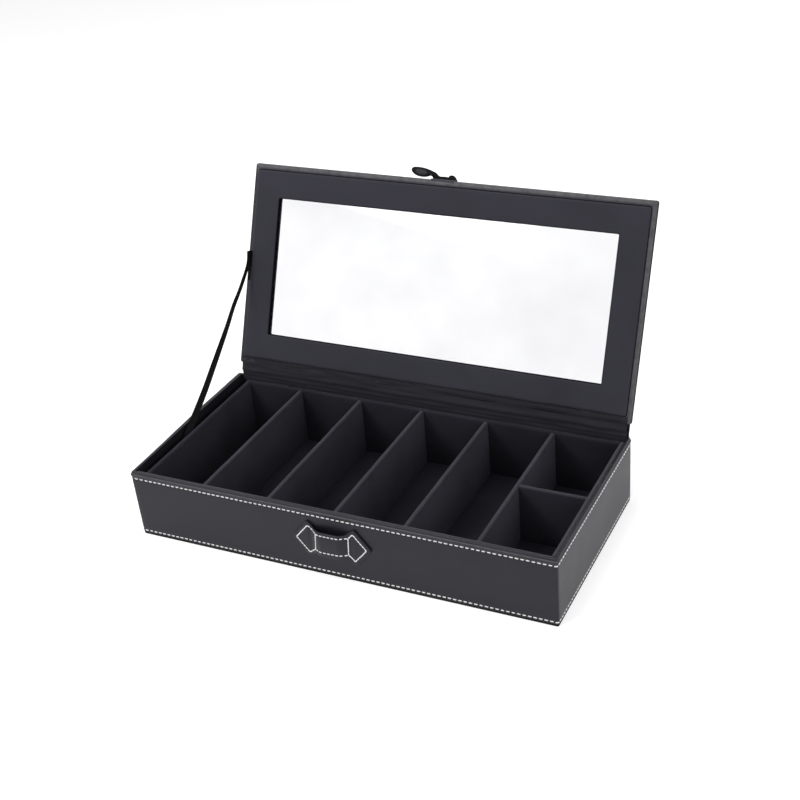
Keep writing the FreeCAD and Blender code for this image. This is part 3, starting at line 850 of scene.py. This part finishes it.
# the lining stands behind the tray, bends in soft folds and covers the lid's margin up to the liner
hingeLining = {
    "standing": [(88.35, 57.0), (88.3, 58.6), (87.9, 59.6), (87.75, 60.6), (88.3, 61.8), (87.75, 63.0), (87.3, 64.2),
                 (88.0, 65.6), (87.9, 67.0), (87.1, 68.4), (87.3, 69.8), (88.2, 71.2)],
    "onLid": [(3.6, 62.35), (2.9, 61.9), (2.2, 62.3), (1.4, 61.8), (0.7, 61.9), (0.25, 62.3), (0.12, 62.7)],
    "steps": 60, "cuts": 200, "thickness": 0.3 * mm,
    "uneven": {"height": 0.95 * mm, "size": 26 * mm, "foldsAcross": 6, "gatherReach": 26 * mm,
               "gatherHeight": 0.8 * mm}}


def makeHinge():
    line, _ = smoothLine(hingeStrip["outside"] + [tuple(openPoint(*hingeStrip["lidEnd"]))], hingeStrip["steps"])
    strip = makeStrip("hingeLeather", line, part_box("hinge_case_leaf")[1].x, hingeStrip, Vector((0, -1, 0)),
                      leather, "leatherette", ["hinge_leather"], 4.2)
    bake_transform(strip)
    lining = [(0, y * mm, z * mm) for y, z in hingeLining["standing"]]
    edge = linerHigh.y / mm
    lining += [tuple(openPoint(edge + beside, z)) for beside, z in hingeLining["onLid"]]
    line, _ = smoothLine(lining, hingeLining["steps"])
    strip = makeStrip("hingeLining", line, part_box("hinge_lining")[1].x, hingeLining, Vector((0, 1, 0)),
                      hingeCloth, "lining", ["hinge_lining"], 7.7)
    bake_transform(strip)


makeHinge()
print("hinge made")

# Ribbon stay: flat ribbon from the channel beside the tray to the lid's margin
stay = {
    "line": [(0.2, 65.6), (22.5, 80.0), (41.9, 95.2), (72.9, 120.4), (86.0, 133.3), (100.0, 142.9),
             (111.6, 152.8), (121.1, 161.6), (124.6, 172.1)],
    "tail": [(-27.0, 45.5), (-13.0, 56.0)],
    "width": [7.4, 7.2, 6.8, 6.6, 6.4, 6.0, 5.6, 5.2, 5.6, 7.6, 10.0],
    "turn": [20, 20, 20, 20, 20, 18, 14, 10, 0, -10, -10],
    "x": [-183.0, -183.0, -183.3, -183.8, -184.2, -184.3, -184.3, -184.3, -184.3, -184.3, -184.3],
    "thickness": 0.35 * mm, "curl": 0.35 * mm, "curlZero": 0.4, "steps": 90, "cutsAcross": 8}


# a value between two of the ribbon's listed ones
def alongRibbon(key, share):
    values = stay[key]
    spot = share * (len(values) - 1)
    low = min(int(spot), len(values) - 2)
    return values[low] + (values[low + 1] - values[low]) * (spot - low)


def makeRibbonPiece():
    points = [(0, y * mm, z * mm) for y, z in stay["tail"] + stay["line"]]
    steps = stay["steps"]
    line, length = smoothLine(points, steps)
    bm = bmesh.new()
    bmesh.ops.create_grid(bm, x_segments=stay["cutsAcross"], y_segments=steps, size=1)
    uvLayer = bm.loops.layers.uv.new("along")
    places = {}
    for vertex in bm.verts:
        row = round((vertex.co.y + 1) / 2 * steps)
        share = row / steps
        along = (line[min(row + 1, steps)] - line[max(row - 1, 0)]).normalized()
        width = alongRibbon("width", share) * mm
        turn = math.radians(alongRibbon("turn", share))
        side = Vector((-math.sin(turn), -along.z * math.cos(turn), along.y * math.cos(turn)))
        cross = vertex.co.x
        curl = (cross * cross - stay["curlZero"]) * stay["curl"] * math.sin(share * math.pi)
        places[vertex] = (share * length, (cross + 1) / 2 * width)
        vertex.co = line[row] + side * (cross * width / 2) + Vector((alongRibbon("x", share) * mm + curl, 0, 0))
    for face in bm.faces:
        for loop in face.loops:
            loop[uvLayer].uv = places[loop.vert]
    bmesh.ops.solidify(bm, geom=bm.faces[:], thickness=stay["thickness"])
    piece = finished(bm, "stayRibbon", "case", "ribbon", ribbonCloth, ["stay_ribbon", "stay_tail"])
    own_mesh(piece)


makeRibbonPiece()
print("ribbon made")

# Keeper strap: arrow-ended strap with an arched middle, stitched down at its ends
keeperLow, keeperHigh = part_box("keeper_strap")
keeper = {
    "centre": Vector(((keeperLow.x + keeperHigh.x) / 2, caseLow.y, (keeperLow.z + keeperHigh.z) / 2)),
    "outline": [(13.6, 11.3), (20.9, 17.3), (35.5, 0.0), (20.9, -17.3), (13.6, -11.3)],
    "thickness": 2.0 * mm, "cornerRound": 2.0 * mm, "edgeRound": 0.6 * mm, "cutsEachSide": 36,
    "gap": 4.6 * mm, "liftStart": 19.0 * mm, "flatHalf": 7.0 * mm,
    "stitch": {"length": 2.7 * mm, "width": 1.05 * mm, "height": 0.65 * mm, "pitch": 2.8 * mm, "tilt": 4.0},
    "bandStitch": {"length": 2.6 * mm, "width": 1.0 * mm, "height": 0.65 * mm, "pitch": 3.7 * mm, "tilt": 4.0},
    "necks": {-1: ((-11.7, 8.7), (-13.6, -7.3)), 1: ((16.2, 9.0), (15.4, -7.0))}}


def keeperLift(x):
    return eased(keeper["gap"], (keeper["liftStart"] - abs(x)) / (keeper["liftStart"] - keeper["flatHalf"]))


def makeKeeper():
    right = keeper["outline"]
    left = [(-x, z) for x, z in reversed(right)]
    bm = bmesh.new()
    corners = [bm.verts.new(Vector((x * mm, 0, z * mm))) for x, z in right + left]
    bm.faces.new(corners)
    roundOff(bm, corners, keeper["cornerRound"], 5, "VERTICES")
    front = vertsOf(bmesh.ops.extrude_face_region(bm, geom=bm.faces[:1]))
    bmesh.ops.translate(bm, vec=(0, -keeper["thickness"], 0), verts=front)
    rims = [edge for edge in bm.edges if abs(edge.verts[0].co.y - edge.verts[1].co.y) < 1e-7]
    roundOff(bm, rims, keeper["edgeRound"], 3, "EDGES")
    for number in range(-keeper["cutsEachSide"], keeper["cutsEachSide"] + 1):
        cutAcross(bm, (number * mm, 0, 0), (1, 0, 0))
    for vertex in bm.verts:
        vertex.co.y -= keeperLift(vertex.co.x)
    bmesh.ops.translate(bm, vec=keeper["centre"], verts=bm.verts)
    finished(bm, "keeperStrap", "case", "leatherette", leather, ["keeper_strap"])


# stitches in a straight row on the strap's front, from one point to another
def rowOnKeeper(bm, start, end, size, rng):
    first, last = Vector((start[0] * mm, 0, start[1] * mm)), Vector((end[0] * mm, 0, end[1] * mm))
    count = max(1, round((last - first).length / size["pitch"]))
    step = 0.2 * mm
    for number in range(count):
        point = first.lerp(last, (number + 0.5) / count)
        along = (last - first).normalized()
        here, there = keeperLift(point.x), keeperLift(point.x + along.x * step)
        point.y = -keeper["thickness"] - here
        along = Vector((along.x * step, here - there, along.z * step)).normalized()
        outwards = Vector((-along.y, along.x, 0)).normalized() if abs(along.x) > 0.2 else Vector((0, -1, 0))
        if outwards.y > 0:
            outwards = -outwards
        addStitch(bm, keeper["centre"] + point, along, outwards, size, rng)


def makeKeeperStitches():
    bm = bmesh.new()
    rng = random.Random(13)
    for side in (-1, 1):
        tip, flareUp, flareDown = (31.2 * side, 0.0), (20.2 * side, 12.9), (20.2 * side, -12.9)
        neckUp, neckDown = keeper["necks"][side]
        for start, end in ((tip, flareUp), (flareUp, neckUp), (neckUp, neckDown), (neckDown, flareDown),
                           (flareDown, tip)):
            rowOnKeeper(bm, start, end, keeper["stitch"], rng)
    for left, right in zip(keeper["necks"][-1], keeper["necks"][1]):
        rowOnKeeper(bm, left, right, keeper["bandStitch"], rng)
    finished(bm, "keeperStitches", "case", "leatherette", thread)


makeKeeper()
makeKeeperStitches()
print("keeper made")

# Closure tongue: a leaf-ended leather strap that lies along the lid's front edge
tongueLow, tongueHigh = closedBox("closure_tongue")
rootLow, _ = closedBox("tongue_root")
tongue = {
    "outline": [(-0.6, 0.1), (-0.6, 0.1), (-0.9, 1.3), (-1.9, 2.75), (-3.6, 3.3), (-5.9, 2.3), (-8.5, 1.6),
                (-13.0, 1.5), (-17.2, 2.4), (-20.4, 4.2), (-22.3, 6.6), (-21.4, 9.0), (-18.3, 9.85), (-12.5, 9.75),
                (-7.0, 8.85), (-2.0, 7.25), (1.4, 6.2), (4.4, 3.4), (6.3, 3.2), (11.0, 3.55), (13.5, 2.9),
                (14.0, 4.8), (17.4, 5.3), (20.0, 3.7), (21.4, 1.4), (21.9, 0.1), (21.9, 0.1)],
    "thickness": 1.4 * mm, "edgeRound": 0.35 * mm, "border": 0.9 * mm, "padding": 0.3 * mm,
    "leafFoci": [(-18.0, 6.3), (-6.8, 5.0)]}


def makeTongue():
    curve = bpy.data.curves.new("tongueOutline", "CURVE")
    curve.dimensions, curve.fill_mode = "2D", "BOTH"
    curve.resolution_u, curve.bevel_resolution = 6, 2
    curve.extrude = tongue["thickness"] / 2 - tongue["edgeRound"]
    curve.bevel_depth, curve.offset = tongue["edgeRound"], -tongue["edgeRound"]
    spline = curve.splines.new("NURBS")
    spline.points.add(len(tongue["outline"]) - 1)
    for point, (along, beyond) in zip(spline.points, tongue["outline"]):
        point.co = (along * mm, beyond * mm, 0, 1)
    spline.use_cyclic_u = True
    spline.order_u = 3
    holder = bpy.data.objects.new("tongueOutline", curve)
    mesh = bpy.data.meshes.new_from_object(holder)
    bm = bmesh.new()
    bm.from_mesh(mesh)
    bpy.data.objects.remove(holder)
    bpy.data.curves.remove(curve)
    bpy.data.meshes.remove(mesh)
    bmesh.ops.remove_doubles(bm, verts=bm.verts, dist=1e-6)
    for side in (-1, 1):
        caps = [face for face in bm.faces if face.normal.z * side > 0.99]
        bmesh.ops.inset_region(bm, faces=caps, thickness=tongue["border"], depth=tongue["padding"])
    neck = Vector((rootLow.x, coverLow.y, (tongueLow.z + tongueHigh.z) / 2))
    place = swing @ Matrix.Translation(neck) @ Matrix.Scale(-1, 4, (0, 1, 0))
    foci = [place @ Vector((along * mm, beyond * mm, 0)) for along, beyond in tongue["leafFoci"]]
    piece = finished(bm, "closureTongue", None, "leatherette", makeTongueLeather(*foci), ["closure_tongue"],
                     placed=place)
    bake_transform(piece)


makeTongue()
print("tongue made")

# Plain assignments to the nodes that keep their own shape
kept = {"underside_sheet": felt, "base_board": board, "front_wall_board": board, "rear_wall_board": board,
        "right_wall_board": board, "window_pane": clearPane,
        "hinge_case_leaf": leather, "hinge_lid_leaf": leather, "stay_tab": ribbonCloth, "tongue_root": leather}
for node, material in kept.items():
    nodes[node].data.materials.clear()
    nodes[node].data.materials.append(material)

# Floor, light and camera
studio = {
    "floorColour": (0.82, 0.82, 0.82, 1), "floorGlow": 0.48, "floorReach": 6,
    "worldLight": 0.45, "worldSeen": 1.0, "lampAim": Vector((0, 0, 0.08)),
    "lamps": [("rightSoftbox", (1.5, -0.3, 0.9), (1.2, 1.2), 12.0),
              ("frontSoftbox", (-0.76, -1.33, 1.1), (0.6, 0.6), 11.0),
              ("topSoftbox", (-0.35, 0.1, 1.65), (1.3, 1.0), 13.0)],
    "camera": Vector((0.4734, -0.8634, 0.6673)), "azimuth": 27.56, "elevation": 29.41, "roll": -4.94,
    "focal": 1388.2, "pictureWidth": 800}


# 1 for camera, glossy and transmission rays
def seenRays(tree):
    path = addNode(tree, "LightPath")
    seen = addMath(tree, "MAXIMUM", path.outputs["Is Camera Ray"], path.outputs["Is Glossy Ray"])
    return addMath(tree, "MAXIMUM", seen, path.outputs["Is Transmission Ray"])


def makeStudio():
    bm = bmesh.new()
    bmesh.ops.create_grid(bm, x_segments=1, y_segments=1, size=studio["floorReach"])
    floor = addObject("floor", meshFrom(bm, "floor"))
    material, tree, shader = newMaterial("paleFloor", Roughness=0.8, Specular_IOR_Level=0.0,
                                         Base_Color=studio["floorColour"], Emission_Color=(1, 1, 1, 1))
    glow = addMath(tree, "MULTIPLY", seenRays(tree), studio["floorGlow"])
    feed(shader, "Emission Strength", glow)
    floor.data.materials.append(material)

    world = bpy.data.worlds.new("studio")
    world.use_nodes = True
    scene.world = world
    tree = world.node_tree
    background = tree.nodes["Background"]
    background.inputs["Color"].default_value = (1, 1, 1, 1)
    extra = addMath(tree, "MULTIPLY", seenRays(tree), studio["worldSeen"] - studio["worldLight"])
    strength = addMath(tree, "ADD", extra, studio["worldLight"])
    feed(background, "Strength", strength)

    for name, place, size, power in studio["lamps"]:
        lamp = bpy.data.lights.new(name, "AREA")
        lamp.shape = "RECTANGLE"
        lamp.size, lamp.size_y = size
        lamp.energy = power
        holder = addObject(name, lamp)
        holder.location = place
        holder.rotation_euler = (-Vector(place) + studio["lampAim"]).to_track_quat("-Z", "Y").to_euler()


def makeCamera():
    azimuth, elevation, roll = (math.radians(studio[key]) for key in ("azimuth", "elevation", "roll"))
    back = Vector((math.sin(azimuth) * math.cos(elevation), -math.cos(azimuth) * math.cos(elevation),
                   math.sin(elevation)))
    right = Vector((math.cos(azimuth), math.sin(azimuth), 0))
    up = back.cross(right)
    turnedRight = right * math.cos(roll) + up * math.sin(roll)
    turnedUp = up * math.cos(roll) - right * math.sin(roll)
    camera = bpy.data.cameras.new("camera")
    camera.sensor_width = 36
    camera.lens = studio["focal"] / studio["pictureWidth"] * camera.sensor_width
    camera.clip_start, camera.clip_end = 0.05, 50
    holder = addObject("camera", camera)
    turn = Matrix((turnedRight, turnedUp, back)).transposed().to_4x4()
    holder.matrix_world = Matrix.Translation(studio["camera"]) @ turn
    scene.camera = holder


makeStudio()
makeCamera()
scene.view_settings.view_transform = "Standard"
print("studio made")
